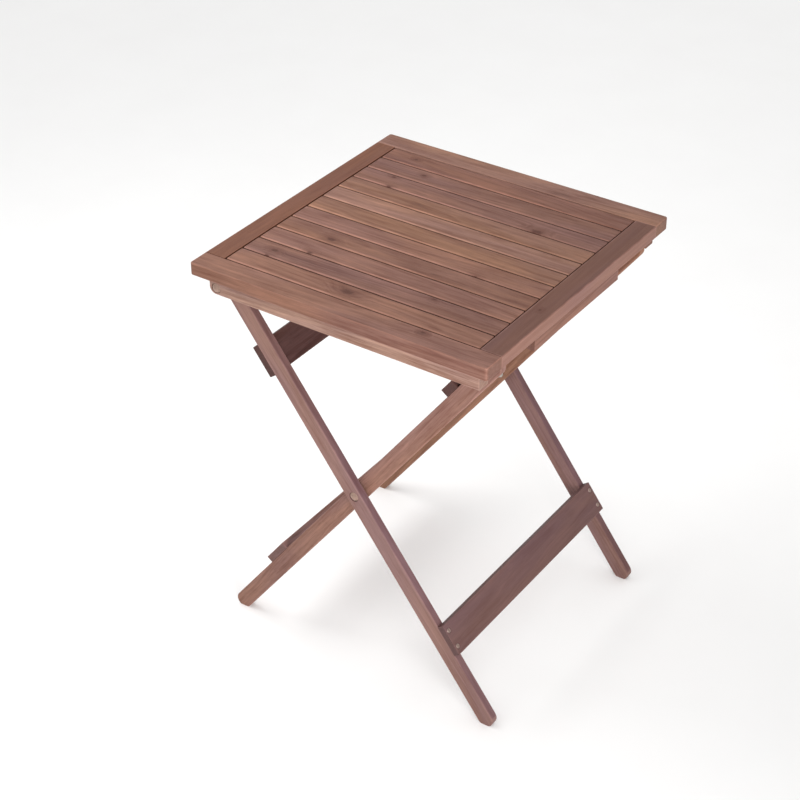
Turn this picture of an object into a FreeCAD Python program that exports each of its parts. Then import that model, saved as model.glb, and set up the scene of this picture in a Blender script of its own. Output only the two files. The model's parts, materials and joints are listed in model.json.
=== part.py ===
import FreeCAD, Part
import math
import os

import Sketcher

from FreeCAD import Placement, Rotation, Vector

# A square slatted folding table on two crossed leg frames, in millimetres.
# +X runs along the slats, +Y across them towards the back and +Z up.
# The origin is on the floor, in the middle of the space the open table takes up.
# The outer frame hangs from the aprons at the left; the inner frame turns on the
# outer one at the crossing bolts and its head slides under the top.

DIMENSIONS = {
    "top_length": 550,
    "top_depth": 556,
    "table_height": 724,
    "rail_thickness": 22,
    "long_rail_width": 41,
    "side_rail_width": 37,
    "corner_radius": 5,
    "edge_radius": 2,
    "slat_thickness": 15,
    "slat_gap": 2,
    "slat_end_gap": 2,
    "slat_edge_radius": 2.5,
    "slat_corner_radius": 3,
    "tongue_inset": 4,
    "tongue_length": 10,
    "tongue_thickness": 7,
    "groove_depth": 11,
    "groove_width": 7.4,
    "dowel_diameter": 8,
    "dowel_length": 38,
    "dowel_spacing": 14,
    "dowel_setback": 4.5,
    "apron_length": 502,
    "apron_height": 28,
    "apron_thickness": 24,
    "apron_inset": 11,
    "apron_centre": 1.2,
    "apron_end_radius": 12,
    "apron_screw_span": 380,
    "batten_length": 258,
    "batten_thickness": 14,
    "batten_inset": 8,
    "batten_screw_span": 200,
    "top_shift": -3.8,
    "crossing_offset": 4.2,
    "crossing_height": 361,
    "pivot_drop": 39,
    "half_span": 241,
    "leg_width": 30,
    "leg_thickness": 15,
    "leg_edge_radius": 1.5,
    "foot_height": 12,
    "outer_leg_face": 240,
    "inner_leg_face": 222,
    "inner_head_extra": 1.6,
    "board_width": 56,
    "board_thickness": 12,
    "slim_board_width": 29,
    "slim_board_thickness": 14,
    "outer_stretcher_distance": 284,
    "outer_crossbar_distance": 262,
    "inner_stretcher_distance": 272,
    "inner_crossbar_distance": 310.5,
    "head_bar_width": 28,
    "head_bar_setback": 5.4,
    "head_bar_rise": 8,
    "head_bar_screw_sink": 2.2,
    "bolt_diameter": 6,
    "bolt_head_diameter": 16,
    "bolt_head_height": 3.4,
    "bolt_recess_diameter": 17.4,
    "bolt_recess_depth": 1.5,
    "running_clearance": 0.1,
    "barrel_diameter": 8,
    "flange_diameter": 14,
    "flange_thickness": 1.2,
    "spacer_diameter": 16,
    "screw_diameter": 4,
    "screw_head_diameter": 8,
    "screw_end_inset": 7.5,
}

SLAT_COUNT = 11

doc = FreeCAD.newDocument("FoldingTable")
sheet = doc.addObject("Spreadsheet::Sheet", "Sizes")
for row, (alias, value) in enumerate(DIMENSIONS.items(), start=1):
    sheet.set("A%d" % row, alias)
    sheet.set("B%d" % row, str(value))
    sheet.setAlias("B%d" % row, alias)
doc.recompute()

NODES = []

# Lengths along a leg, worked out from the pivot triangle.
RISE = "(Sizes.table_height - Sizes.pivot_drop - Sizes.crossing_height)"
LEAN = "atan(%s / Sizes.half_span)" % RISE
UPPER_ARM = "sqrt(%s ^ 2 + Sizes.half_span ^ 2)" % RISE
LOWER_ARM = "((Sizes.crossing_height - Sizes.foot_height) / sin(%s))" % LEAN
TOP_CENTRE_HEIGHT = "(Sizes.table_height - Sizes.rail_thickness / 2)"
UNDERSIDE_BAR_HEIGHT = "(Sizes.table_height - Sizes.rail_thickness - Sizes.apron_height / 2)"
APRON_CENTRE_Y = "(Sizes.top_depth / 2 - Sizes.apron_inset - Sizes.apron_thickness / 2)"


def size(alias):
    return float(sheet.get(alias))


def new_body(name, x="0", y="0", z="0", axis=Vector(0, 0, 1), angle=None):
    """A body with its own label, placed by expressions."""
    body = doc.addObject("PartDesign::Body", name)
    body.Label = name
    if angle is not None:
        body.Placement = Placement(Vector(0, 0, 0), Rotation(axis, 10))
        body.setExpression("Placement.Rotation.Angle", angle)
    body.setExpression("Placement.Base.x", x)
    body.setExpression("Placement.Base.y", y)
    body.setExpression("Placement.Base.z", z)
    NODES.append(body)
    return body


def new_sketch(body, name, plane, offset=None):
    """A sketch on one of the body's own origin planes, moved along its normal."""
    sketch = body.newObject("Sketcher::SketchObject", body.Name + "_" + name)
    origin_plane = [f for f in body.Origin.OriginFeatures if f.Role == plane][0]
    sketch.AttachmentSupport = [(origin_plane, "")]
    sketch.MapMode = "FlatFace"
    if offset is not None:
        sketch.setExpression("AttachmentOffset.Base.z", offset)
    return sketch


def dimension(sketch, kind, args, expression):
    index = sketch.addConstraint(Sketcher.Constraint(kind, *args))
    sketch.setExpression("Constraints[%d]" % index, expression)


def rectangle(sketch, width, height, x="0", y="0"):
    """A rectangle centred at (x, y) in the sketch; every size is an expression."""
    first = sketch.GeometryCount
    corners = [Vector(-20, -10, 0), Vector(20, -10, 0), Vector(20, 10, 0), Vector(-20, 10, 0)]
    for start, end in zip(corners, corners[1:] + corners[:1]):
        sketch.addGeometry(Part.LineSegment(start, end), False)
    for side in range(4):
        joined = (first + side, 2, first + (side + 1) % 4, 1)
        sketch.addConstraint(Sketcher.Constraint("Coincident", *joined))
        direction = "Horizontal" if side % 2 == 0 else "Vertical"
        sketch.addConstraint(Sketcher.Constraint(direction, first + side))
    dimension(sketch, "DistanceX", (first, 1, first, 2, 40), width)
    dimension(sketch, "DistanceY", (first + 1, 1, first + 1, 2, 20), height)
    dimension(sketch, "DistanceX", (-1, 1, first, 1, -20), "%s - (%s) / 2" % (x, width))
    dimension(sketch, "DistanceY", (-1, 1, first, 1, -10), "%s - (%s) / 2" % (y, height))


def circle(sketch, diameter, x="0", y="0"):
    index = sketch.addGeometry(Part.Circle(Vector(5, 5, 0), Vector(0, 0, 1), 3), False)
    dimension(sketch, "Diameter", (index, 6), diameter)
    dimension(sketch, "DistanceX", (-1, 1, index, 3, 5), x)
    dimension(sketch, "DistanceY", (-1, 1, index, 3, 5), y)


def stadium(sketch, radius, left, right):
    """A bar with round ends; left and right are the x of the two end centres."""
    r, x0, x1 = [float(sketch.evalExpression(text)) for text in (radius, left, right)]
    quarter = math.pi / 2
    right_circle = Part.Circle(Vector(x1, 0, 0), Vector(0, 0, 1), r)
    left_circle = Part.Circle(Vector(x0, 0, 0), Vector(0, 0, 1), r)
    top = sketch.addGeometry(Part.LineSegment(Vector(x0, r, 0), Vector(x1, r, 0)), False)
    bottom = sketch.addGeometry(Part.LineSegment(Vector(x1, -r, 0), Vector(x0, -r, 0)), False)
    right_arc = sketch.addGeometry(Part.ArcOfCircle(right_circle, -quarter, quarter), False)
    left_arc = sketch.addGeometry(Part.ArcOfCircle(left_circle, quarter, 3 * quarter), False)
    for joint in ((top, 2, right_arc, 2), (right_arc, 1, bottom, 1),
                  (bottom, 2, left_arc, 2), (left_arc, 1, top, 1)):
        sketch.addConstraint(Sketcher.Constraint("Tangent", *joint))
    sketch.addConstraint(Sketcher.Constraint("PointOnObject", right_arc, 3, -1))
    sketch.addConstraint(Sketcher.Constraint("PointOnObject", left_arc, 3, -1))
    dimension(sketch, "Radius", (right_arc, r), radius)
    dimension(sketch, "DistanceX", (-1, 1, right_arc, 3, x1), right)
    dimension(sketch, "DistanceX", (-1, 1, left_arc, 3, x0), left)


def pad(body, sketch, length):
    """Extrude a sketch equally to both sides of its plane."""
    feature = body.newObject("PartDesign::Pad", sketch.Name + "_pad")
    feature.Profile = sketch
    feature.SideType = "Symmetric"
    feature.setExpression("Length", length)
    sketch.Visibility = False
    body.Tip = feature
    doc.recompute()
    return feature


def pocket(body, sketch, length=None, towards_normal=False, symmetric=False):
    """Cut a sketch out of the body, and check that something was cut."""
    before = body.Shape.Volume
    feature = body.newObject("PartDesign::Pocket", sketch.Name + "_cut")
    feature.Profile = sketch
    if symmetric:
        feature.SideType = "Symmetric"
    feature.Reversed = towards_normal
    if length is None:
        feature.Type = "ThroughAll"
    else:
        feature.setExpression("Length", length)
    sketch.Visibility = False
    body.Tip = feature
    doc.recompute()
    if body.Shape.Volume > before - 1e-3:
        raise RuntimeError("cut removed nothing: " + feature.Name)
    return feature


def ease_edges(body, name, radius, wanted):
    """Round the straight edges that the given test picks."""
    base = body.Tip
    names = []
    for index, edge in enumerate(base.Shape.Edges, start=1):
        if edge.Curve.TypeId == "Part::GeomLine":
            direction = (edge.Vertexes[1].Point - edge.Vertexes[0].Point).normalize()
            if wanted(direction, edge.CenterOfMass):
                names.append("Edge%d" % index)
    if not names:
        raise RuntimeError("no edge to ease on " + body.Name)
    feature = body.newObject("PartDesign::Fillet", body.Name + "_" + name)
    feature.Base = (base, names)
    feature.setExpression("Radius", radius)
    body.Tip = feature
    doc.recompute()
    return feature


def along_x(direction):
    return abs(direction.x) > 0.99


def along_y(direction):
    return abs(direction.y) > 0.99


def along_z(direction):
    return abs(direction.z) > 0.99


def long_rail(name, side):
    """A rail along the front or back edge, full length, with rounded corners."""
    centre = "%d * (Sizes.top_depth - Sizes.long_rail_width) / 2" % side
    screw_row = "%d * %s - %s" % (side, APRON_CENTRE_Y, centre)
    body = new_body(name, "Sizes.top_shift", centre, TOP_CENTRE_HEIGHT)
    plan = new_sketch(body, "plan", "XY_Plane")
    rectangle(plan, "Sizes.top_length", "Sizes.long_rail_width")
    pad(body, plan, "Sizes.rail_thickness")
    joints = new_sketch(body, "dowel_holes", "XZ_Plane")
    for end in (-1, 1):
        for step in (-1, 1):
            x = ("%d * ((Sizes.top_length - Sizes.side_rail_width) / 2 + Sizes.dowel_setback)"
                 " + %d * Sizes.dowel_spacing / 2" % (end, step))
            circle(joints, "Sizes.dowel_diameter + Sizes.running_clearance", x)
    pocket(body, joints, "Sizes.long_rail_width / 2", towards_normal=(side > 0))
    pilots = new_sketch(body, "pilot_holes", "XY_Plane")
    for position in (-1, -1 / 3, 1 / 3, 1):
        circle(pilots, "Sizes.screw_diameter + Sizes.running_clearance",
               "Sizes.apron_centre - Sizes.top_shift + %.6f * Sizes.apron_screw_span / 2" % position,
               screw_row)
    pocket(body, pilots)
    ease_edges(body, "corners", "Sizes.corner_radius",
               lambda d, c: along_z(d) and c.y * side > 0)
    ease_edges(body, "edges", "Sizes.edge_radius",
               lambda d, c: along_x(d) and (c.y * side > 0 or c.z > 0))


def side_rail(name, side):
    """A rail between the long rails, grooved inside for the slat tongues."""
    centre = "Sizes.top_shift + %d * (Sizes.top_length - Sizes.side_rail_width) / 2" % side
    length = "(Sizes.top_depth - 2 * Sizes.long_rail_width)"
    body = new_body(name, centre, "0", TOP_CENTRE_HEIGHT)
    plan = new_sketch(body, "plan", "XY_Plane")
    rectangle(plan, "Sizes.side_rail_width", length)
    pad(body, plan, "Sizes.rail_thickness")
    floor = "%d * (Sizes.side_rail_width / 2 - Sizes.groove_depth)" % -side
    groove = new_sketch(body, "groove", "YZ_Plane", floor)
    rectangle(groove, length, "Sizes.groove_width",
              y="(Sizes.rail_thickness - Sizes.slat_thickness) / 2")
    pocket(body, groove, towards_normal=(side < 0))
    for end in (-1, 1):
        depth = "(Sizes.dowel_length - Sizes.long_rail_width / 2 + 1)"
        floor = "%d * (%s / 2 - %s)" % (-end, length, depth)
        joints = new_sketch(body, "dowel_holes_%s" % ("front" if end < 0 else "back"), "XZ_Plane", floor)
        for step in (-1, 1):
            circle(joints, "Sizes.dowel_diameter + Sizes.running_clearance",
                   "%d * Sizes.dowel_setback + %d * Sizes.dowel_spacing / 2" % (side, step))
        pocket(body, joints, towards_normal=(end < 0))
    if side > 0:
        pilots = new_sketch(body, "pilot_holes", "XY_Plane")
        batten_x = "(Sizes.side_rail_width / 2 - Sizes.batten_inset - Sizes.batten_thickness / 2)"
        for position in (-1, 0, 1):
            circle(pilots, "Sizes.screw_diameter + Sizes.running_clearance", batten_x,
                   "%d * Sizes.batten_screw_span / 2" % position)
        pocket(body, pilots)
    ease_edges(body, "edges", "Sizes.edge_radius",
               lambda d, c: along_y(d) and c.x * side > 0)


def slat(number):
    """One slat of the top, with a tongue at each end that sits in the side rails."""
    width = ("((Sizes.top_depth - 2 * Sizes.long_rail_width - %d * Sizes.slat_gap) / %d)"
             % (SLAT_COUNT + 1, SLAT_COUNT))
    centre_y = "%d * (%s + Sizes.slat_gap)" % (number - (SLAT_COUNT + 1) // 2, width)
    length = "(Sizes.top_length - 2 * Sizes.side_rail_width - 2 * Sizes.slat_end_gap)"
    height = "Sizes.table_height - Sizes.slat_thickness / 2"
    body = new_body("slat_%02d" % number, "Sizes.top_shift", centre_y, height)
    plan = new_sketch(body, "plan", "XY_Plane")
    rectangle(plan, length, width)
    pad(body, plan, "Sizes.slat_thickness")
    ease_edges(body, "corners", "Sizes.slat_corner_radius", lambda d, c: along_z(d))
    ease_edges(body, "top_edges", "Sizes.slat_edge_radius", lambda d, c: along_x(d) and c.z > 0)
    tongues = new_sketch(body, "tongues", "XY_Plane")
    rectangle(tongues, length + " + 2 * Sizes.tongue_length", width + " - 2 * Sizes.tongue_inset")
    pad(body, tongues, "Sizes.tongue_thickness")


def apron(name, side):
    """The bar under a long rail; the outer frame hangs from its left end."""
    body = new_body(name, "Sizes.apron_centre", "%d * %s" % (side, APRON_CENTRE_Y), UNDERSIDE_BAR_HEIGHT)
    plan = new_sketch(body, "plan", "XY_Plane")
    rectangle(plan, "Sizes.apron_length", "Sizes.apron_thickness")
    pad(body, plan, "Sizes.apron_height")
    ease_edges(body, "left_end", "Sizes.apron_end_radius",
               lambda d, c: along_y(d) and c.z < 0 and c.x < 0)
    # The XZ sketch plane has its local axes along +X and +Z.
    pivot_x = "Sizes.crossing_offset - Sizes.half_span - Sizes.apron_centre"
    pivot_z = "Sizes.rail_thickness + Sizes.apron_height / 2 - Sizes.pivot_drop"
    pivot = new_sketch(body, "pivot_hole", "XZ_Plane")
    circle(pivot, "Sizes.bolt_diameter + Sizes.running_clearance", pivot_x, pivot_z)
    pocket(body, pivot, "2 * Sizes.apron_thickness", symmetric=True)
    floor = "%d * (Sizes.apron_thickness / 2 - Sizes.bolt_recess_depth)" % -side
    recess = new_sketch(body, "bolt_recess", "XZ_Plane", floor)
    circle(recess, "Sizes.bolt_recess_diameter", pivot_x, pivot_z)
    pocket(body, recess, towards_normal=(side < 0))
    screw_row = [("%.6f * Sizes.apron_screw_span / 2" % p, "0") for p in (-1, -1 / 3, 1 / 3, 1)]
    bar_screw_holes(body, screw_row)
    ease_edges(body, "edges", "Sizes.edge_radius / 2", lambda d, c: along_x(d) and c.z < 0)


def bar_screw_holes(body, positions):
    """Holes from below through an underside bar, each with a recess for the head."""
    holes = new_sketch(body, "screw_holes", "XY_Plane")
    for x, y in positions:
        circle(holes, "Sizes.screw_diameter + Sizes.running_clearance", x, y)
    pocket(body, holes, "2 * Sizes.apron_height", symmetric=True)
    recess = new_sketch(body, "screw_recesses", "XY_Plane", "4 - Sizes.apron_height / 2")
    for x, y in positions:
        circle(recess, "Sizes.screw_head_diameter + 1", x, y)
    pocket(body, recess)


def stop_batten():
    """The bar under the right side rail that the inner frame's head bears on."""
    x = "Sizes.top_shift + Sizes.top_length / 2 - Sizes.batten_inset - Sizes.batten_thickness / 2"
    body = new_body("stop_batten", x, "0", UNDERSIDE_BAR_HEIGHT)
    plan = new_sketch(body, "plan", "XY_Plane")
    rectangle(plan, "Sizes.batten_thickness", "Sizes.batten_length")
    pad(body, plan, "Sizes.apron_height")
    bar_screw_holes(body, [("0", "%d * Sizes.batten_screw_span / 2" % p) for p in (-1, 0, 1)])
    ease_edges(body, "edges", "Sizes.edge_radius / 2", lambda d, c: along_y(d) and c.z < 0)


def leg_frame_body(name, frame, y="0", along="0", rise="0"):
    """A body in a leg frame: local +X runs down the leg, local +Z off its upper face.

    frame is +1 for the outer frame, whose feet are at the right, and -1 for the inner.
    """
    x = ("Sizes.crossing_offset + %d * ((%s) * cos(%s) + (%s) * sin(%s))"
         % (frame, along, LEAN, rise, LEAN))
    z = "Sizes.crossing_height - (%s) * sin(%s) + (%s) * cos(%s)" % (along, LEAN, rise, LEAN)
    return new_body(name, x, y, z, Vector(0, 1, 0), leg_angle(frame))


def leg_angle(frame):
    """How far a leg frame is turned about +Y."""
    return LEAN if frame > 0 else "180 deg - " + LEAN


def face_sign(frame):
    """Which way the upper face of a leg looks along the body's local Z."""
    return 1 if frame > 0 else -1


def leg(name, frame, side):
    """A round-ended leg with its bolt holes and the pilot holes for the boards."""
    face = "Sizes.outer_leg_face" if frame > 0 else "Sizes.inner_leg_face"
    centre_y = "%d * (%s - Sizes.leg_thickness / 2)" % (side, face)
    body = leg_frame_body(name, frame, centre_y)
    profile = new_sketch(body, "profile", "XZ_Plane")
    head = "-" + UPPER_ARM if frame > 0 else "-(%s + Sizes.inner_head_extra)" % UPPER_ARM
    stadium(profile, "Sizes.leg_width / 2", head, LOWER_ARM)
    pad(body, profile, "Sizes.leg_thickness")
    ease_edges(body, "edges", "Sizes.leg_edge_radius", lambda d, c: along_x(d))
    flatten_foot(body, frame)
    bolt_hole = new_sketch(body, "crossing_hole", "XZ_Plane")
    circle(bolt_hole, "Sizes.bolt_diameter + Sizes.running_clearance")
    pocket(body, bolt_hole, "2 * Sizes.leg_thickness", symmetric=True)
    if frame > 0:
        floor = "%d * (Sizes.leg_thickness / 2 - Sizes.bolt_recess_depth)" % -side
        recess = new_sketch(body, "bolt_recess", "XZ_Plane", floor)
        circle(recess, "Sizes.bolt_recess_diameter")
        pocket(body, recess, towards_normal=(side < 0))
        pivot = new_sketch(body, "pivot_hole", "XZ_Plane")
        circle(pivot, "Sizes.barrel_diameter + Sizes.running_clearance", "-" + UPPER_ARM)
        pocket(body, pivot, "2 * Sizes.leg_thickness", symmetric=True)
    else:
        bar_hole = new_sketch(body, "head_bar_hole", "XZ_Plane")
        circle(bar_hole, "Sizes.screw_diameter + Sizes.running_clearance",
               "Sizes.head_bar_setback - " + UPPER_ARM, "-Sizes.head_bar_rise")
        pocket(body, bar_hole, "2 * Sizes.leg_thickness", symmetric=True)
        floor = "%d * (Sizes.leg_thickness / 2 - Sizes.head_bar_screw_sink)" % -side
        sink = new_sketch(body, "head_bar_recess", "XZ_Plane", floor)
        circle(sink, "Sizes.screw_head_diameter + 0.4", "Sizes.head_bar_setback - " + UPPER_ARM,
               "-Sizes.head_bar_rise")
        pocket(body, sink, towards_normal=(side < 0))
    leg_pilot_holes(body, frame)


def flatten_foot(body, frame):
    """Cut the round foot off level with the floor."""
    cut = new_sketch(body, "foot_cut", "XZ_Plane")
    cut.AttachmentOffset = Placement(Vector(0, 0, 0), Rotation(Vector(0, 0, 1), 10))
    cut.setExpression("AttachmentOffset.Base.x", LOWER_ARM)
    cut.setExpression("AttachmentOffset.Rotation.Angle", leg_angle(frame))
    rectangle(cut, "2 * Sizes.leg_width", "Sizes.leg_width", y="-Sizes.foot_height - Sizes.leg_width / 2")
    pocket(body, cut, "2 * Sizes.leg_thickness", symmetric=True)


def board_screw_rows(frame):
    """Every board of a leg frame: name, distance down the leg, face, width, thickness, screws."""
    if frame > 0:
        return [
            ("outer_stretcher", "Sizes.outer_stretcher_distance", 1, "board", 2),
            ("outer_crossbar", "-Sizes.outer_crossbar_distance", -1, "board", 2),
        ]
    return [
        ("inner_stretcher", "Sizes.inner_stretcher_distance", 1, "board", 2),
        ("inner_crossbar", "-Sizes.inner_crossbar_distance", 1, "slim_board", 1),
    ]


def screw_steps(screws):
    """Positions of the screws across a board, as shares of its width."""
    return (0,) if screws == 1 else (-0.27, 0.27)


def leg_pilot_holes(body, frame):
    """Blind holes for the board screws, bored from the face each board is on."""
    for board, distance, upper, stock, screws in board_screw_rows(frame):
        pilots = new_sketch(body, board + "_pilots", "XY_Plane")
        for step in screw_steps(screws):
            circle(pilots, "Sizes.screw_diameter + Sizes.running_clearance",
                   "%s + %.2f * Sizes.%s_width" % (distance, step, stock))
        pocket(body, pilots, towards_normal=(upper * face_sign(frame) > 0))


def frame_board(frame, name, distance, upper, stock, screws):
    """A flat board screwed across the two legs of a frame."""
    width = "Sizes.%s_width" % stock
    thickness = "Sizes.%s_thickness" % stock
    face = "Sizes.outer_leg_face" if frame > 0 else "Sizes.inner_leg_face"
    rise = "%d * (Sizes.leg_width + %s) / 2" % (upper, thickness)
    body = leg_frame_body(name, frame, "0", distance, rise)
    plan = new_sketch(body, "plan", "XY_Plane")
    rectangle(plan, width, "2 * " + face)
    pad(body, plan, thickness)
    outward = upper * face_sign(frame)
    holes = new_sketch(body, "screw_holes", "XY_Plane")
    recess = new_sketch(body, "screw_recesses", "XY_Plane", "%d * (%s / 2 - 2)" % (outward, thickness))
    for side in (-1, 1):
        for step in screw_steps(screws):
            x = "%.2f * %s" % (step, width)
            y = "%d * (%s - Sizes.screw_end_inset)" % (side, face)
            circle(holes, "Sizes.screw_diameter + Sizes.running_clearance", x, y)
            circle(recess, "Sizes.screw_head_diameter + 0.4", x, y)
    pocket(body, holes, "2 * " + thickness, symmetric=True)
    pocket(body, recess, towards_normal=(outward > 0))
    ease_edges(body, "edges", "Sizes.edge_radius / 2",
               lambda d, c: along_y(d) and c.z * outward > 0)


def head_bar():
    """The bar between the inner legs at their heads; it bears on the stop batten."""
    along = "Sizes.head_bar_setback - " + UPPER_ARM
    body = leg_frame_body("inner_head_bar", -1, "0", along, "Sizes.head_bar_rise")
    plan = new_sketch(body, "plan", "XY_Plane")
    rectangle(plan, "Sizes.head_bar_width", "2 * (Sizes.inner_leg_face - Sizes.leg_thickness)")
    pad(body, plan, "Sizes.slim_board_thickness")
    pilots = new_sketch(body, "pilot_holes", "XZ_Plane")
    circle(pilots, "Sizes.screw_diameter + Sizes.running_clearance")
    pocket(body, pilots, "3 * Sizes.inner_leg_face", symmetric=True)
    ease_edges(body, "edges", "Sizes.edge_radius", lambda d, c: along_y(d))


def turned(points, arcs=None):
    """A solid of revolution about the Z axis from a half profile of (radius, z) points."""
    arcs = arcs or {}
    edges = []
    for index, (start, end) in enumerate(zip(points, points[1:] + points[:1])):
        ends = [Vector(p[0], 0, p[1]) for p in (start, end)]
        if index in arcs:
            middle = Vector(arcs[index][0], 0, arcs[index][1])
            edges.append(Part.Arc(ends[0], middle, ends[1]).toShape())
        else:
            edges.append(Part.makeLine(*ends))
    face = Part.Face(Part.Wire(edges))
    return face.revolve(Vector(0, 0, 0), Vector(0, 0, 1), 360)


def carriage_bolt(length):
    """A domed-head bolt: the head stands on z = 0 and the shank runs down from it."""
    head = size("bolt_head_diameter") / 2
    height = size("bolt_head_height")
    shank = size("bolt_diameter") / 2
    rim = 0.6
    dome = (head ** 2 + (height - rim) ** 2) / (2 * (height - rim))
    half_angle = math.asin(head / dome) / 2
    middle = (dome * math.sin(half_angle), height - dome * (1 - math.cos(half_angle)))
    points = [(0, -length), (shank - 0.6, -length), (shank, -length + 0.6), (shank, 0),
              (head, 0), (head, rim), (0, height)]
    return turned(points, {5: middle})


def wood_screw(length):
    """A wood screw with a flat round head and a cross slot; its head top is at z = 0."""
    head = size("screw_head_diameter") / 2
    shank = size("screw_diameter") / 2
    screw = turned([(0, -length), (shank, -length + 5), (shank, -2), (head, -2), (head, -0.5),
                    (head - 0.5, 0), (0, 0)])
    for turn in (0, 90):
        slot = Part.makeBox(head * 1.1, 0.9, 1.2, Vector(-head * 0.55, -0.45, -1.0))
        slot.rotate(Vector(0, 0, 0), Vector(0, 0, 1), turn)
        screw = screw.cut(slot)
    return screw


def washer(thickness):
    outer = size("spacer_diameter") / 2
    inner = size("bolt_diameter") / 2 + 0.2
    return turned([(inner, 0), (outer, 0), (outer, thickness), (inner, thickness)])


def lock_nut(height):
    """A hexagon nut with a rounded crown, bored to suit the bolt."""
    across_flats = 10
    hexagon = Part.makePolygon([Vector(across_flats / math.sqrt(3), 0, 0)] + [
        Rotation(Vector(0, 0, 1), 60 * k).multVec(Vector(across_flats / math.sqrt(3), 0, 0))
        for k in range(1, 7)])
    prism = Part.Face(hexagon).extrude(Vector(0, 0, height))
    crown = turned([(0, -1), (across_flats, -1), (across_flats, height - 1.6),
                    (across_flats / 2 - 0.6, height), (0, height)])
    bore = Part.makeCylinder(size("bolt_diameter") / 2 + 0.05, height - 1.2, Vector(0, 0, 0))
    return prism.common(crown).cut(bore)


def barrel_nut():
    """A flanged sleeve that turns in the outer leg; the flange's inner side is z = 0."""
    flange = size("flange_diameter") / 2
    thickness = size("flange_thickness")
    barrel = size("barrel_diameter") / 2
    bore = size("bolt_diameter") / 2 + size("running_clearance") / 2
    depth = size("leg_thickness") - 0.6
    return turned([(0, -thickness), (flange - 0.5, -thickness), (flange, -thickness + 0.5), (flange, 0),
                   (barrel, 0), (barrel, depth), (bore, depth), (bore, 2), (0, 2)])


def group(name, solids):
    """One node of separate solids, each given as (shape, point, direction of its +Z)."""
    placed = []
    for shape, point, direction in solids:
        copy = shape.copy()
        copy.Placement = Placement(Vector(*point), Rotation(Vector(0, 0, 1), Vector(*direction)))
        placed.append(copy)
    node = doc.addObject("Part::Feature", name)
    node.Label = name
    node.Shape = Part.makeCompound(placed)
    NODES.append(node)


def rise_and_lean():
    rise = size("table_height") - size("pivot_drop") - size("crossing_height")
    return rise, math.atan2(rise, size("half_span"))


def frame_point(frame, along, rise):
    """Row-frame x and z of a point given along a leg and off its upper face."""
    lean = rise_and_lean()[1]
    x = size("crossing_offset") + frame * (along * math.cos(lean) + rise * math.sin(lean))
    z = size("crossing_height") - along * math.sin(lean) + rise * math.cos(lean)
    return x, z


def top_fasteners():
    """Dowels of the top frame and the screws that hold the bars under it."""
    rail_z = size("table_height") - size("rail_thickness") / 2
    bar_bottom = size("table_height") - size("rail_thickness") - size("apron_height")
    joint_y = size("top_depth") / 2 - size("long_rail_width") / 2
    rail_x = (size("top_length") - size("side_rail_width")) / 2 + size("dowel_setback")
    diameter = size("dowel_diameter")
    length = size("dowel_length")
    pin = turned([(0, 0), (diameter / 2 - 0.8, 0), (diameter / 2, 0.8), (diameter / 2, length - 0.8),
                  (diameter / 2 - 0.8, length), (0, length)])
    dowels = []
    for x_side in (-1, 1):
        for y_side in (-1, 1):
            for step in (-1, 1):
                x = size("top_shift") + x_side * rail_x + step * size("dowel_spacing") / 2
                dowels.append((pin, (x, y_side * joint_y, rail_z), (0, -y_side, 0)))
    group("rail_dowels", dowels)
    screw = wood_screw(32)
    apron_y = size("top_depth") / 2 - size("apron_inset") - size("apron_thickness") / 2
    head_z = bar_bottom + 2
    aprons = []
    for y_side in (-1, 1):
        for share in (-1, -1 / 3, 1 / 3, 1):
            x = size("apron_centre") + share * size("apron_screw_span") / 2
            aprons.append((screw, (x, y_side * apron_y, head_z), (0, 0, -1)))
    group("apron_screws", aprons)
    rail_face = size("top_shift") + size("top_length") / 2
    batten_x = rail_face - size("batten_inset") - size("batten_thickness") / 2
    battens = []
    for share in (-1, 0, 1):
        y = share * size("batten_screw_span") / 2
        battens.append((screw, (batten_x, y, head_z), (0, 0, -1)))
    group("stop_batten_screws", battens)


def pivot_hardware():
    """Apron bolts with their barrel nuts, and the washers round them."""
    x = size("crossing_offset") - size("half_span")
    z = size("table_height") - size("pivot_drop")
    apron_face = size("top_depth") / 2 - size("apron_inset")
    seat = apron_face - size("bolt_recess_depth") + 0.3
    inner_face = size("outer_leg_face") - size("leg_thickness")
    bolt = carriage_bolt(seat - inner_face - 3)
    nut = barrel_nut()
    spacer = washer(2.4)
    sides = (-1, 1)
    group("apron_bolts", [(bolt, (x, s * seat, z), (0, s, 0)) for s in sides])
    group("apron_barrel_nuts", [(nut, (x, s * (inner_face - 0.3), z), (0, s, 0)) for s in sides])
    group("apron_washers", [(spacer, (x, s * size("outer_leg_face"), z), (0, s, 0)) for s in sides])


def crossing_hardware():
    """Bolts, washers and nuts that join the two leg frames where they cross."""
    x = size("crossing_offset")
    z = size("crossing_height")
    seat = size("outer_leg_face") - size("bolt_recess_depth")
    outer_inside = size("outer_leg_face") - size("leg_thickness")
    inner_inside = size("inner_leg_face") - size("leg_thickness")
    thin = 1.5
    nut_face = inner_inside - 0.4 - thin
    bolt = carriage_bolt(seat - nut_face + 4.6)
    sides = (-1, 1)
    group("crossing_bolts", [(bolt, (x, s * seat, z), (0, s, 0)) for s in sides])
    group("crossing_spacers", [(washer(2.4), (x, s * outer_inside, z), (0, -s, 0)) for s in sides])
    group("crossing_washers", [(washer(thin), (x, s * (nut_face + thin), z), (0, -s, 0)) for s in sides])
    group("crossing_nuts", [(lock_nut(6.4), (x, s * nut_face, z), (0, -s, 0)) for s in sides])


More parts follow.
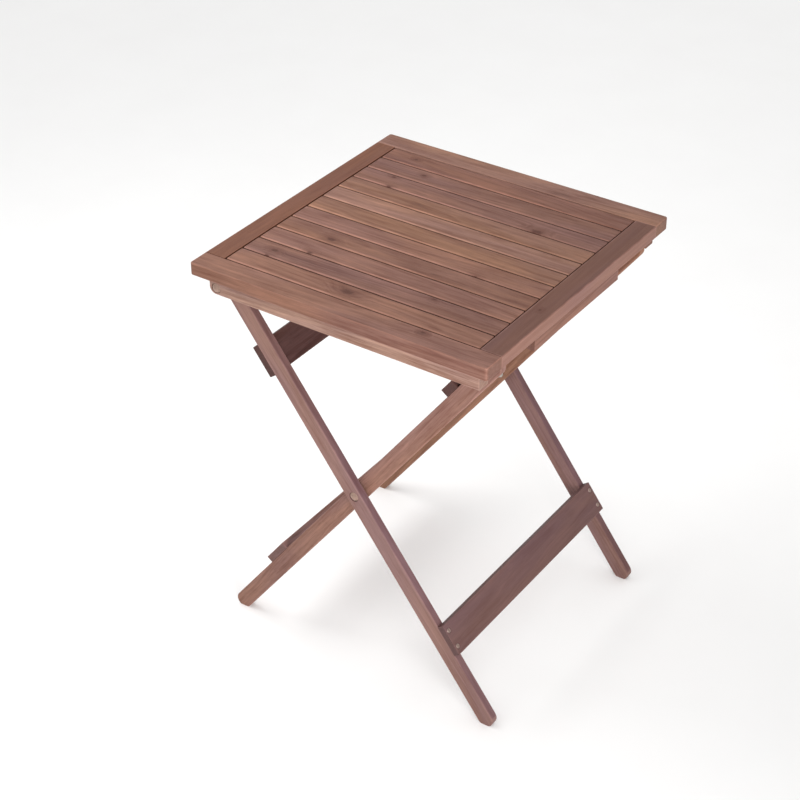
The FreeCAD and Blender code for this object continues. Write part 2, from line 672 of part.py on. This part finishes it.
def board_screws(frame):
    """Screws that hold the boards of one leg frame, heads sunk in the boards."""
    face = size("outer_leg_face") if frame > 0 else size("inner_leg_face")
    lean = rise_and_lean()[1]
    for board, distance, upper, stock, screws in board_screw_rows(frame):
        sign = -1 if distance.startswith("-") else 1
        along = sign * size(distance.split(".")[1])
        thickness = size(stock + "_thickness")
        rise = upper * (size("leg_width") / 2 + thickness)
        normal = (frame * upper * math.sin(lean), 0, upper * math.cos(lean))
        solids = []
        for side in (-1, 1):
            for step in screw_steps(screws):
                x, z = frame_point(frame, along + step * size(stock + "_width"), rise)
                y = side * (face - size("screw_end_inset"))
                solids.append((wood_screw(thickness + 14.5), (x, y, z), normal))
        group(board + "_screws", solids)


def head_bar_screws():
    rise, lean = rise_and_lean()
    arm = math.hypot(rise, size("half_span"))
    x, z = frame_point(-1, size("head_bar_setback") - arm, size("head_bar_rise"))
    screw = wood_screw(40)
    head_top = size("inner_leg_face") - size("head_bar_screw_sink") + 2
    group("inner_head_bar_screws", [(screw, (x, s * head_top, z), (0, s, 0)) for s in (-1, 1)])


def build():
    long_rail("rail_front", -1)
    long_rail("rail_back", 1)
    side_rail("rail_left", -1)
    side_rail("rail_right", 1)
    for number in range(1, SLAT_COUNT + 1):
        slat(number)
    apron("apron_front", -1)
    apron("apron_back", 1)
    stop_batten()
    for frame, label in ((1, "outer"), (-1, "inner")):
        leg(label + "_leg_front", frame, -1)
        leg(label + "_leg_back", frame, 1)
        for row_values in board_screw_rows(frame):
            frame_board(frame, *row_values)
    head_bar()
    top_fasteners()
    pivot_hardware()
    crossing_hardware()
    for frame in (1, -1):
        board_screws(frame)
    head_bar_screws()


def check_and_write():
    """Stop on any failed feature, then write one STEP file per node."""
    doc.recompute()
    broken = [o.Name for o in doc.Objects if "Invalid" in o.State or "Error" in o.State]
    if broken:
        raise RuntimeError("failed features: " + ", ".join(broken))
    os.makedirs("parts", exist_ok=True)
    for node in NODES:
        if node.Shape.isNull() or not node.Shape.isValid():
            raise RuntimeError("bad shape: " + node.Label)
        node.Shape.exportStep(os.path.join("parts", node.Label + ".step"))
        box = node.Shape.BoundBox
        print("%-24s solids %d volume %.0f  x %.1f..%.1f  y %.1f..%.1f  z %.1f..%.1f" % (
            node.Label, len(node.Shape.Solids), node.Shape.Volume, box.XMin, box.XMax,
            box.YMin, box.YMax, box.ZMin, box.ZMax))


build()
check_and_write()
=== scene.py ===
"""Looks for the slatted folding table: stained hardwood, plated steel fittings, pale studio floor.

Everything is in metres in the part's own frame: X runs along the slats, Y across them, Z up.
The shapes all come from the CAD. What is added here is the finish of each piece, the floor,
the lights and the camera.
"""

import json
import math

import bpy
from mathutils import Matrix, Vector


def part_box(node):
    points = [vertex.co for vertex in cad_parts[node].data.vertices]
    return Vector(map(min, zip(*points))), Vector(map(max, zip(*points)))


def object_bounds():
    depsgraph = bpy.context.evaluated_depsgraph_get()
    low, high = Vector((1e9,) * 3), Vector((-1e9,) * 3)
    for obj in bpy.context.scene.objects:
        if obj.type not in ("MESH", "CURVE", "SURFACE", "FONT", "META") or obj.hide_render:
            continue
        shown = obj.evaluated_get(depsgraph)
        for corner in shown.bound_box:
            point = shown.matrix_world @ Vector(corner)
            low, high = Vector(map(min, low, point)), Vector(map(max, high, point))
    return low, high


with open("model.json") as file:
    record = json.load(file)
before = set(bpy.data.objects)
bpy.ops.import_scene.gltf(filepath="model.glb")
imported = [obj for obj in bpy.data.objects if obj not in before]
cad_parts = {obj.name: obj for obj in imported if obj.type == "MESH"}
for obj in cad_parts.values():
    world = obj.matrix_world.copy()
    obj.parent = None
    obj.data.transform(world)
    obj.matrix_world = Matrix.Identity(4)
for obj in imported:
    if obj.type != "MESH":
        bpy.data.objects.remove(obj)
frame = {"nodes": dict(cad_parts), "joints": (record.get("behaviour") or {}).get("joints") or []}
cad_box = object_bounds()

MM = 0.001
TABLE_HEIGHT = cad_box[1].z

# How far a slat's tongue reaches past its shoulder, into the side rail.
TONGUE = 10 * MM

LEG_WIDTH, LEG_THICKNESS = 30 * MM, 15 * MM
BOARD_WIDTH, BOARD_THICKNESS = 56 * MM, 12 * MM
SLIM_BOARD_WIDTH, SLIM_BOARD_THICKNESS = 29 * MM, 14 * MM

# A board has up to three knots. Those that it doesn't have stand far away from it.
KNOTS = "ABC"
FAR_AWAY = (10.0, 10.0, 10.0)
KNOT_SIZE = 5 * MM


# ---------------------------------------------------------------- node helpers


class Nodes:
    """Short names for building one node tree, laid out left to right."""

    def __init__(self, tree):
        self.tree = tree
        self.tree.nodes.clear()
        self.column = 0

    def add(self, kind, **settings):
        node = self.tree.nodes.new(kind)
        node.location = (self.column * 180, 0)
        self.column += 1
        for key, value in settings.items():
            setattr(node, key, value)
        return node

    def link(self, source, target):
        self.tree.links.new(source, target)

    def feed(self, socket, value):
        """A socket is fed by another socket, or set to a plain value."""
        if isinstance(value, bpy.types.NodeSocket):
            self.link(value, socket)
        elif value is not None:
            socket.default_value = value

    def math(self, operation, a, b=None, c=None, clamp=False):
        node = self.add("ShaderNodeMath", operation=operation, use_clamp=clamp)
        for socket, value in zip(node.inputs, (a, b, c)):
            self.feed(socket, value)
        return node.outputs[0]

    def vector(self, operation, a, b=None, scale=None):
        node = self.add("ShaderNodeVectorMath", operation=operation)
        self.feed(node.inputs[0], a)
        self.feed(node.inputs[1], b)
        if operation == "SCALE":
            self.feed(node.inputs["Scale"], scale)
        return node.outputs["Value" if operation == "LENGTH" else "Vector"]

    def stretch(self, vector, scale):
        """The coordinates multiplied axis by axis."""
        return self.vector("MULTIPLY", vector, scale)

    def noise(self, vector, detail=2.0, roughness=0.5, scale=1.0):
        node = self.add("ShaderNodeTexNoise")
        self.feed(node.inputs["Vector"], vector)
        node.inputs["Scale"].default_value = scale
        node.inputs["Detail"].default_value = detail
        node.inputs["Roughness"].default_value = roughness
        return node

    def ramp(self, value, low, high, out_low=0.0, out_high=1.0):
        """A smooth step of value from low to high."""
        node = self.add("ShaderNodeMapRange", interpolation_type="SMOOTHSTEP")
        self.feed(node.inputs["Value"], value)
        self.feed(node.inputs["From Min"], low)
        self.feed(node.inputs["From Max"], high)
        self.feed(node.inputs["To Min"], out_low)
        self.feed(node.inputs["To Max"], out_high)
        return node.outputs["Result"]

    def mix(self, factor, a, b, blend="MIX"):
        node = self.add("ShaderNodeMix", data_type="RGBA", blend_type=blend)
        self.feed(node.inputs["Factor"], factor)
        self.feed(node.inputs["A"], a)
        self.feed(node.inputs["B"], b)
        return node.outputs["Result"]

    def shade(self, colour, amount):
        """The colour made lighter or darker by a factor."""
        return self.vector("SCALE", colour, scale=amount)

    def cast(self, colour, tint):
        """The colour multiplied by a tint."""
        return self.mix(1.0, colour, tint, "MULTIPLY")

    def split(self, vector):
        node = self.add("ShaderNodeSeparateXYZ")
        self.feed(node.inputs[0], vector)
        return node.outputs

    def join(self, x, y, z):
        node = self.add("ShaderNodeCombineXYZ")
        for socket, value in zip(node.inputs, (x, y, z)):
            self.feed(socket, value)
        return node.outputs[0]


# ---------------------------------------------------------------- wood

# Tints of the stain, and the colours that knots tend to.
WARM_CAST = (1.02, 1.0, 0.93, 1)
MAUVE_CAST = (0.97, 0.98, 1.05, 1)
RED_CAST = (1.04, 0.90, 0.86, 1)
KNOT_HALO = (0.130, 0.056, 0.040, 1)
KNOT_HEART = (0.075, 0.027, 0.018, 1)

RINGS_PER_METRE = 260
WORN_WIDTH = 3.2 * MM


class WoodNodes(Nodes):
    """Sawn and stained acacia, as a solid texture in a board's own frame.

    Local X runs along the grain. Growth rings run round a pith that lies off the board, so
    flat faces show long figure, edges show straight lines and ends show arcs.

    place is a point's offset from the board's middle, drift is its offset from the pith, gap
    is how deep it is inside each pair of faces, and rub is how much it has been handled.
    """

    def __init__(self, tree):
        super().__init__(tree)
        self.given = self.add("NodeGroupInput").outputs
        self.where = self.add("ShaderNodeTexCoord").outputs
        offset = self.vector("SUBTRACT", self.where["Object"], self.given["Middle"])
        self.place = self.to_board(offset)
        self.drift = self.vector("ADD", self.place, self.given["Pith"])
        depth = self.vector("SUBTRACT", self.given["Half Size"], self.vector("ABSOLUTE", self.place))
        self.gap = self.split(depth)
        self.rub = self.grain(26, 60, 3)

    def to_board(self, vector):
        """A vector of the part's frame, turned into the board's own."""
        node = self.add("ShaderNodeMapping", vector_type="TEXTURE")
        self.link(vector, node.inputs["Vector"])
        self.link(self.given["Turn"], node.inputs["Rotation"])
        return node.outputs[0]

    def grain(self, along, across, detail, roughness=0.5):
        """Noise that repeats so many times per metre along and across the board."""
        spread = self.stretch(self.drift, (along, across, across))
        return self.noise(spread, detail, roughness).outputs[0]

    def part(self, value, centre, weight):
        """What a pattern adds, by how far it is from its centre."""
        return self.math("MULTIPLY", self.math("SUBTRACT", value, centre), weight)

    def knots(self):
        """How far a point is inside a knot's dark heart, and inside the halo round it."""
        heart, halo = 0.0, 0.0
        wobble = self.part(self.grain(160, 160, 2), 0.5, 1.1)
        for letter in KNOTS:
            offset = self.vector("SUBTRACT", self.place, self.given[f"Knot {letter}"])
            offset = self.stretch(offset, (0.6, 1.0, 0.5))
            size = self.given[f"Knot {letter} Size"]
            reach = self.math("DIVIDE", self.vector("LENGTH", offset), size)
            reach = self.math("ADD", reach, wobble)
            heart = self.math("MAXIMUM", heart, self.ramp(reach, 0.4, 1.35, 1.0, 0.0))
            halo = self.math("MAXIMUM", halo, self.ramp(reach, 0.6, 4.2, 1.0, 0.0))
        return heart, halo

    def rings(self, halo):
        """Growth rings round the pith, wavering along the board and swerving round knots."""
        waver = self.noise(self.stretch(self.drift, (5, 18, 18)), detail=2).outputs["Color"]
        waver = self.vector("SUBTRACT", waver, (0.5, 0.5, 0.5))
        waver = self.vector("SCALE", waver, scale=0.016)
        log = self.split(self.vector("ADD", self.drift, waver))
        radius = self.vector("LENGTH", self.join(0.0, log["Y"], log["Z"]))
        radius = self.math("ADD", radius, self.math("MULTIPLY", log["X"], 0.035))
        radius = self.math("ADD", radius, self.math("MULTIPLY", halo, 0.012))
        rings = self.add("ShaderNodeTexNoise", noise_dimensions="1D")
        self.link(radius, rings.inputs["W"])
        rings.inputs["Scale"].default_value = RINGS_PER_METRE
        rings.inputs["Detail"].default_value = 3
        rings.inputs["Roughness"].default_value = 0.62
        return self.ramp(rings.outputs[0], 0.3, 0.72)

    def worn(self):
        """Where handling has worn the eased edges.

        The distance from the nearest edge is the middle one of the distances from the
        board's three pairs of faces.
        """
        gap = self.gap
        least = self.math("MINIMUM", self.math("MINIMUM", gap["X"], gap["Y"]), gap["Z"])
        most = self.math("MAXIMUM", self.math("MAXIMUM", gap["X"], gap["Y"]), gap["Z"])
        total = self.math("ADD", self.math("ADD", gap["X"], gap["Y"]), gap["Z"])
        edge = self.math("SUBTRACT", self.math("SUBTRACT", total, least), most)
        width = self.math("MULTIPLY", self.ramp(self.rub, 0.3, 0.7, 0.7, 1.0), WORN_WIDTH)
        worn = self.ramp(self.math("DIVIDE", edge, width), 0.15, 1.0, 1.0, 0.0)
        return self.math("MULTIPLY", worn, self.ramp(self.rub, 0.34, 0.66, 0.35, 1.0))

    def front_edge_highlight(self):
        """A painted highlight along a slat's front edge, brightest towards its left end."""
        spot = self.split(self.place)
        front = self.ramp(spot["Y"], -1.0 * MM, 0.0, 1.0, 0.0)
        front_edge_highlight = self.ramp(self.gap["Y"], 1.2 * MM, 4.2 * MM, 1.0, 0.0)
        front_edge_highlight = self.math("MULTIPLY", self.math("MULTIPLY", front_edge_highlight, front), self.given["Seam"])
        front_edge_highlight = self.math("MULTIPLY", front_edge_highlight, self.ramp(self.rub, 0.3, 0.7, 0.45, 1.0))
        return self.math("MULTIPLY", front_edge_highlight, self.ramp(spot["X"], -0.1, 0.24, 1.0, 0.25))

    def stained(self, tone):
        """The stain at its tone: it drifts from mauve to warm, and reddens where it is dark."""
        stain = self.given["Stain"]
        hue = self.ramp(self.grain(3.5, 22, 2), 0.34, 0.66)
        colour = self.mix(hue, self.cast(stain, MAUVE_CAST), self.cast(stain, WARM_CAST))
        colour = self.shade(colour, tone)
        dark = self.ramp(tone, 0.72, 1.05, 1.0, 0.0)
        colour = self.mix(dark, colour, self.cast(colour, RED_CAST))
        # Faces that look up take the upper tint: painted shade on the outer legs, and a darker top
        # on the right rail.
        upward = self.ramp(self.split(self.where["Normal"])["Z"], 0.2, 0.5)
        return self.mix(upward, colour, self.cast(colour, self.given["Upper Tint"]))

    def end_stain_and_gap_shade(self, colour):
        """Ends drink more stain than faces do, and painted shade darkens the seams between slats, on
        their sides and ends.
        """
        facing = self.split(self.to_board(self.where["Normal"]))
        end = self.ramp(self.math("ABSOLUTE", facing["X"]), 0.75, 0.95)
        side = self.ramp(self.math("ABSOLUTE", facing["Y"]), 0.8, 0.98)
        drunk = self.shade(self.given["Stain"], 0.55)
        colour = self.mix(self.math("MULTIPLY", end, 0.5), colour, drunk)
        # Painted shade on the slats' sides and ends, down in the seams between them.
        gap_shade = self.math("MULTIPLY", self.math("MAXIMUM", side, end), self.given["Seam"])
        return self.mix(gap_shade, colour, self.shade(colour, 0.22))


def wood_sockets(tree):
    """What a board tells the wood group, and what it gets back."""
    face = tree.interface
    for name, kind, default in (
        ("Middle", "NodeSocketVector", (0, 0, 0)),
        ("Turn", "NodeSocketVector", (0, 0, 0)),
        ("Half Size", "NodeSocketVector", (1, 1, 1)),
        ("Pith", "NodeSocketVector", (0, 0, -0.06)),
        ("Stain", "NodeSocketColor", (0.28, 0.15, 0.12, 1)),
        ("Figure", "NodeSocketFloat", 1.0),
        ("Upper Tint", "NodeSocketColor", (1, 1, 1, 1)),
        ("Seam", "NodeSocketFloat", 0.0),
        *((f"Knot {letter}", "NodeSocketVector", FAR_AWAY) for letter in KNOTS),
        *((f"Knot {letter} Size", "NodeSocketFloat", KNOT_SIZE) for letter in KNOTS),
    ):
        face.new_socket(name, in_out="INPUT", socket_type=kind).default_value = default
    for name, kind in (
        ("Color", "NodeSocketColor"),
        ("Roughness", "NodeSocketFloat"),
        ("Height", "NodeSocketFloat"),
    ):
        face.new_socket(name, in_out="OUTPUT", socket_type=kind)


def wood_group():
    """The wood as a node group that every board shares."""
    tree = bpy.data.node_groups.new("stained_wood", "ShaderNodeTree")
    wood_sockets(tree)
    n = WoodNodes(tree)
    stain = n.given["Stain"]

    heart, halo = n.knots()
    ring = n.rings(halo)

    # Blotches, streaks, fibres and open pores, each longer than it is wide.
    blotch = n.grain(7, 34, 3, 0.6)
    streak = n.grain(9, 170, 3, 0.6)
    fibre = n.grain(40, 900, 2, 0.6)
    pore = n.ramp(n.grain(75, 1500, 1), 0.62, 0.74)

    # How light the wood is at a point, with 1 as its stain's own tone.
    tone = n.part(ring, 0.5, -0.24)
    for value, centre, weight in (
        (blotch, 0.5, 0.95),
        (streak, 0.5, 0.95),
        (fibre, 0.5, 0.65),
        (pore, 0.0, -0.2),
    ):
        tone = n.math("ADD", tone, n.part(value, centre, weight))
    tone = n.math("MULTIPLY_ADD", tone, n.given["Figure"], 1.0)
    tone = n.math("ADD", tone, n.math("MULTIPLY", halo, -0.2))

    worn = n.worn()
    colour = n.stained(tone)
    colour = n.mix(n.math("MULTIPLY", worn, 0.45), colour, n.shade(stain, 1.6))
    # A painted highlight along the slats' front edges.
    colour = n.mix(n.math("MULTIPLY", n.front_edge_highlight(), 0.85), colour, n.shade(stain, 2.1))
    colour = n.end_stain_and_gap_shade(colour)
    colour = n.mix(n.math("MULTIPLY", halo, 0.40), colour, KNOT_HALO)
    colour = n.mix(n.math("MULTIPLY", heart, 0.85), colour, KNOT_HEART)

    # Open grain is duller, and handled edges are smoother.
    rough = n.math("ADD", 0.56, n.part(fibre, 0.5, 0.3))
    rough = n.math("ADD", rough, n.part(blotch, 0.5, 0.25))
    rough = n.math("ADD", rough, n.math("MULTIPLY", worn, -0.06), clamp=True)

    # Fibres and streaks stand up, pores and the hearts of knots sink.
    height = n.math("MULTIPLY", fibre, 0.34)
    for value, weight in ((streak, 0.3), (ring, 0.16), (pore, -0.55), (heart, -0.5)):
        height = n.math("ADD", height, n.math("MULTIPLY", value, weight))

    out = n.add("NodeGroupOutput")
    n.link(colour, out.inputs["Color"])
    n.link(rough, out.inputs["Roughness"])
    n.link(height, out.inputs["Height"])
    return tree


WOOD = wood_group()


def lean_of_legs():
    """Angle of the outer legs above the floor, from the two pivots on them."""
    places = {joint["name"]: Vector(joint["pos_m"]) for joint in frame["joints"]}
    rise = places["top_swing"] - places["inner_frame_fold"]
    return math.atan2(rise.z, -rise.x)


LEAN = lean_of_legs()
ALONG_X = (0.0, 0.0, 0.0)
ALONG_Y = (0.0, 0.0, math.pi / 2)
DOWN_TO_RIGHT = (0.0, LEAN, 0.0)
DOWN_TO_LEFT = (0.0, math.pi - LEAN, 0.0)


def across(lean):
    """Grain along Y on a board that lies flat on leaning legs."""
    turn = Matrix.Rotation(lean, 3, "Y") @ Matrix.Rotation(math.pi / 2, 3, "Z")
    return tuple(turn.to_euler("XYZ"))


ACROSS_RIGHT = across(LEAN)
ACROSS_LEFT = across(math.pi - LEAN)

# Stains, as linear colours.
TAN = (0.211, 0.110, 0.079)
SAND = (0.198, 0.099, 0.065)
OAK = (0.178, 0.086, 0.059)
ROSE = (0.190, 0.093, 0.067)
MAUVE = (0.165, 0.081, 0.062)
RUSSET = (0.170, 0.079, 0.057)
PLUM = (0.125, 0.066, 0.062)
UMBER = (0.085, 0.040, 0.034)
HONEY = (0.206, 0.108, 0.084)
DUSK = (0.212, 0.120, 0.104)
ASH = (0.178, 0.098, 0.086)
CLAY = (0.262, 0.157, 0.126)
BRICK = (0.146, 0.061, 0.037)
WINE = (0.197, 0.103, 0.084)
BEECH = (0.560, 0.400, 0.250)


def wood(node, turn, stain, number, half=None, tongue=0.0, figure=1.0, upper=(1, 1, 1),
         knots=()):
    """Gives a board its own wood.

    number: moves the board to another place in the log.
    half: half its length, width and thickness, where its box isn't its own shape.
    tongue: length of the tongue at each end. Boards with one are slats, with painted shade in the
    seams between them and a painted highlight along their front edges.
    figure: how strong the grain is.
    upper: tint of the faces that look up.
    knots: (x, y, z, size) in millimetres, in the part's frame.
    """
    low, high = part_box(node)
    middle = (low + high) / 2
    if half is None:
        size = (high - low) / 2
        half = (size.y, size.x, size.z) if turn == ALONG_Y else tuple(size)
    half = (half[0] - tongue, half[1], half[2])

    material = bpy.data.materials.new(f"wood_{node}")
    material.use_nodes = True
    n = Nodes(material.node_tree)
    group = n.add("ShaderNodeGroup", node_tree=WOOD)
    pick = group.inputs
    pick["Middle"].default_value = middle
    pick["Turn"].default_value = turn
    pick["Half Size"].default_value = half
    pick["Pith"].default_value = (
        1.7 * number,
        0.031 * math.sin(2.4 * number),
        -0.042 - 0.022 * math.cos(1.7 * number),
    )
    pick["Stain"].default_value = (*stain, 1)
    pick["Figure"].default_value = figure
    pick["Upper Tint"].default_value = (*upper, 1)
    # Slats get painted shade in their seams and a painted highlight along their front edges.
    pick["Seam"].default_value = 1.0 if tongue else 0.0
    for letter, (x, y, z, size) in zip(KNOTS, knots):
        away = Vector((x * MM, y * MM, z * MM)) - middle
        along = (away.y, -away.x, away.z) if turn == ALONG_Y else tuple(away)
        pick[f"Knot {letter}"].default_value = along
        pick[f"Knot {letter} Size"].default_value = size * MM

    bump = n.add("ShaderNodeBump")
    bump.inputs["Strength"].default_value = 0.55
    bump.inputs["Distance"].default_value = 0.4 * MM
    n.link(group.outputs["Height"], bump.inputs["Height"])
    shader = n.add("ShaderNodeBsdfPrincipled")
    shader.inputs["Specular IOR Level"].default_value = 0.17
    n.link(group.outputs["Color"], shader.inputs["Base Color"])
    n.link(group.outputs["Roughness"], shader.inputs["Roughness"])
    n.link(bump.outputs[0], shader.inputs["Normal"])
    n.link(shader.outputs[0], n.add("ShaderNodeOutputMaterial").inputs[0])
    paint(node, material)


def paint(node, material):
    """Gives a CAD node one material."""
    data = frame["nodes"][node].data
    data.materials.clear()
    data.materials.append(material)


# The stain of each slat from the front rail to the back one, and the knots on it.
TOP = TABLE_HEIGHT / MM
SLATS = (
    (ROSE, ((-21, -213, TOP, 7),)),
    (MAUVE, ((-191, -172, TOP, 4), (-192, -192, TOP, 3), (101, -157, TOP, 2.5))),
    (ROSE, ((-141, -147, TOP, 3.5),)),
    (OAK, ((-139, -93, TOP, 5), (71, -110, TOP, 2))),
    (ROSE, ((114, -65, TOP, 3.5),)),
    (SAND, ()),
    (TAN, ((-74, 66, TOP, 2),)),
    (SAND, ()),
    (MAUVE, ((121, 113, TOP, 6), (-166, 109, TOP, 3), (-179, 142, TOP, 3))),
    (MAUVE, ((-139, 176, TOP, 3),)),
    (RUSSET, ((-184, 218, TOP, 2.5),)),
)


def dress_top():
    for number, (stain, knots) in enumerate(SLATS, start=1):
        wood(f"slat_{number:02d}", ALONG_X, stain, number, tongue=TONGUE, knots=knots)
    wood("rail_front", ALONG_X, ROSE, 12, knots=((140, -246, TOP, 3),))
    wood("rail_back", ALONG_X, TAN, 13)
    wood("rail_left", ALONG_Y, BRICK, 14, figure=0.6)
    wood("rail_right", ALONG_Y, WINE, 15, figure=0.4, upper=(0.66, 0.60, 0.57),
         knots=((249, -94, TOP, 2.5),))
    wood("apron_front", ALONG_X, CLAY, 16, figure=1.2)
    wood("apron_back", ALONG_X, ROSE, 17)
    wood("stop_batten", ALONG_Y, MAUVE, 18)
    wood("rail_dowels", ALONG_Y, BEECH, 19)


# Painted shade: the faces of the outer legs that look up lie under the table top, so they are tinted
# darker and bluer.
UPPER_FACE_SHADE = (0.72, 0.67, 0.78)


def leg_half(node):
    """Half sizes of a leaning leg, from the height of its box."""
    low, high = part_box(node)
    length = (high.z - low.z) / math.sin(LEAN)
    return (length / 2, LEG_THICKNESS / 2, LEG_WIDTH / 2)


def board_half(node, width=BOARD_WIDTH, thickness=BOARD_THICKNESS):
    """Half sizes of a board that lies across the leaning legs."""
    low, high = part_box(node)
    return ((high.y - low.y) / 2, width / 2, thickness / 2)


def dress_legs():
    wood("outer_leg_front", DOWN_TO_RIGHT, DUSK, 21, half=leg_half("outer_leg_front"),
         upper=UPPER_FACE_SHADE, figure=0.7)
    wood("outer_leg_back", DOWN_TO_RIGHT, ASH, 22, half=leg_half("outer_leg_back"),
         upper=UPPER_FACE_SHADE, figure=0.7)
    wood("inner_leg_front", DOWN_TO_LEFT, HONEY, 23, half=leg_half("inner_leg_front"))
    wood("inner_leg_back", DOWN_TO_LEFT, SAND, 24, half=leg_half("inner_leg_back"))
    wood("outer_stretcher", ACROSS_RIGHT, PLUM, 25, half=board_half("outer_stretcher"),
         figure=0.45)
    wood("outer_crossbar", ACROSS_RIGHT, UMBER, 26, half=board_half("outer_crossbar"))
    wood("inner_stretcher", ACROSS_LEFT, ASH, 27, half=board_half("inner_stretcher"))
    wood("inner_crossbar", ACROSS_LEFT, UMBER, 28,
         half=board_half("inner_crossbar", SLIM_BOARD_WIDTH, SLIM_BOARD_THICKNESS))
    wood("inner_head_bar", ALONG_Y, MAUVE, 29)


# ---------------------------------------------------------------- steel


def steel(name, tint, roughness):
    """Zinc-plated steel, cloudy, with fine scratches and dull spots."""
    material = bpy.data.materials.new(name)
    material.use_nodes = True
    n = Nodes(material.node_tree)
    where = n.add("ShaderNodeTexCoord").outputs["Object"]
    cloud = n.noise(where, detail=4, roughness=0.6, scale=240).outputs[0]
    lines = n.noise(n.stretch(where, (600, 5200, 600)), detail=2).outputs[0]
    spots = n.ramp(n.noise(where, detail=1, scale=900).outputs[0], 0.6, 0.75)
    colour = n.mix(n.ramp(cloud, 0.3, 0.7), (*[0.78 * c for c in tint], 1), (*tint, 1))
    colour = n.mix(n.math("MULTIPLY", spots, 0.4), colour, (0.3, 0.25, 0.21, 1))
    rough = n.math("ADD", roughness, n.math("MULTIPLY", n.math("SUBTRACT", cloud, 0.5), 0.35))
    rough = n.math("ADD", rough, n.math("MULTIPLY", spots, 0.2), clamp=True)
    bump = n.add("ShaderNodeBump")
    bump.inputs["Strength"].default_value = 0.5
    bump.inputs["Distance"].default_value = 0.05 * MM
    n.link(n.math("ADD", lines, n.math("MULTIPLY", spots, -0.5)), bump.inputs["Height"])
    shader = n.add("ShaderNodeBsdfPrincipled")
    shader.inputs["Metallic"].default_value = 1.0
    n.link(colour, shader.inputs["Base Color"])
    n.link(rough, shader.inputs["Roughness"])
    n.link(bump.outputs[0], shader.inputs["Normal"])
    n.link(shader.outputs[0], n.add("ShaderNodeOutputMaterial").inputs[0])
    return material


def dress_fittings():
    """The heads that show are tinted a warm brown, and the washers and nuts are pale grey."""
    bolts = steel("plated_bolts", (0.45, 0.30, 0.24), 0.32)
    screws = steel("plated_screws", (0.42, 0.31, 0.27), 0.42)
    hidden = steel("plated_washers", (0.66, 0.64, 0.60), 0.36)
    for node in ("crossing_bolts", "apron_bolts"):
        paint(node, bolts)
    for node in ("apron_screws", "stop_batten_screws", "outer_stretcher_screws",
                 "outer_crossbar_screws", "inner_stretcher_screws",
                 "inner_crossbar_screws", "inner_head_bar_screws"):
        paint(node, screws)
    for node in ("apron_barrel_nuts", "apron_washers", "crossing_spacers",
                 "crossing_washers", "crossing_nuts"):
        paint(node, hidden)


# ---------------------------------------------------------------- studio


def studio_floor():
    """A wide pale floor, barely mottled."""
    bpy.ops.mesh.primitive_plane_add(size=30, location=(0, 0, 0))
    floor = bpy.context.object
    floor.name = "studio_floor"
    material = bpy.data.materials.new("pale_floor")
    material.use_nodes = True
    n = Nodes(material.node_tree)
    where = n.add("ShaderNodeTexCoord").outputs["Object"]
    mottle = n.noise(where, detail=3, scale=6).outputs[0]
    colour = n.mix(mottle, (0.93, 0.925, 0.92, 1), (0.96, 0.96, 0.955, 1))
    shader = n.add("ShaderNodeBsdfPrincipled")
    shader.inputs["Roughness"].default_value = 0.8
    shader.inputs["Specular IOR Level"].default_value = 0.15
    n.link(colour, shader.inputs["Base Color"])
    n.link(shader.outputs[0], n.add("ShaderNodeOutputMaterial").inputs[0])
    floor.data.materials.append(material)


def soft_box(name, azimuth, elevation, distance, size, power, aim, spread=180):
    """A square soft light. Azimuth 0 stands in front of the table, 90 to its right."""
    back = direction(azimuth, elevation)
    data = bpy.data.lights.new(name, "AREA")
    data.shape, data.size, data.energy = "SQUARE", size, power
    data.spread = math.radians(spread)
    light = bpy.data.objects.new(name, data)
    light.location = Vector(aim) + back * distance
    light.rotation_euler = (-back).to_track_quat("-Z", "Y").to_euler()
    bpy.context.scene.collection.objects.link(light)


def direction(azimuth, elevation):
    """The way from the table to something at these angles."""
    a, e = math.radians(azimuth), math.radians(elevation)
    return Vector((math.sin(a) * math.cos(e), -math.cos(a) * math.cos(e), math.sin(e)))


def studio_lights():
    soft_box("front", azimuth=50, elevation=5, distance=1.9, size=0.9, power=6.6,
             aim=(0, 0, 0.68), spread=70)
    soft_box("left", azimuth=284, elevation=50, distance=1.15, size=1.0, power=10.2,
             aim=(-0.15, 0, 0.7))
    world = bpy.data.worlds.new("studio")
    world.use_nodes = True
    background = world.node_tree.nodes["Background"]
    background.inputs["Color"].default_value = (1, 1, 1, 1)
    background.inputs["Strength"].default_value = 0.9
    bpy.context.scene.world = world


def camera():
    """Looks down on the table from its front right corner."""
    look_at = Vector((0.2123, -0.4128, TABLE_HEIGHT))
    distance = 2.6391
    back = direction(azimuth=34.272, elevation=33.803)
    data = bpy.data.cameras.new("camera")
    data.lens, data.sensor_width = 85.09, 36
    made = bpy.data.objects.new("camera", data)
    made.location = look_at + back * distance
    made.rotation_euler = (-back).to_track_quat("-Z", "Y").to_euler()
    bpy.context.scene.collection.objects.link(made)
    bpy.context.scene.camera = made


dress_top()
dress_legs()
dress_fittings()
studio_floor()
studio_lights()
camera()
bpy.context.scene.view_settings.view_transform = "Standard"
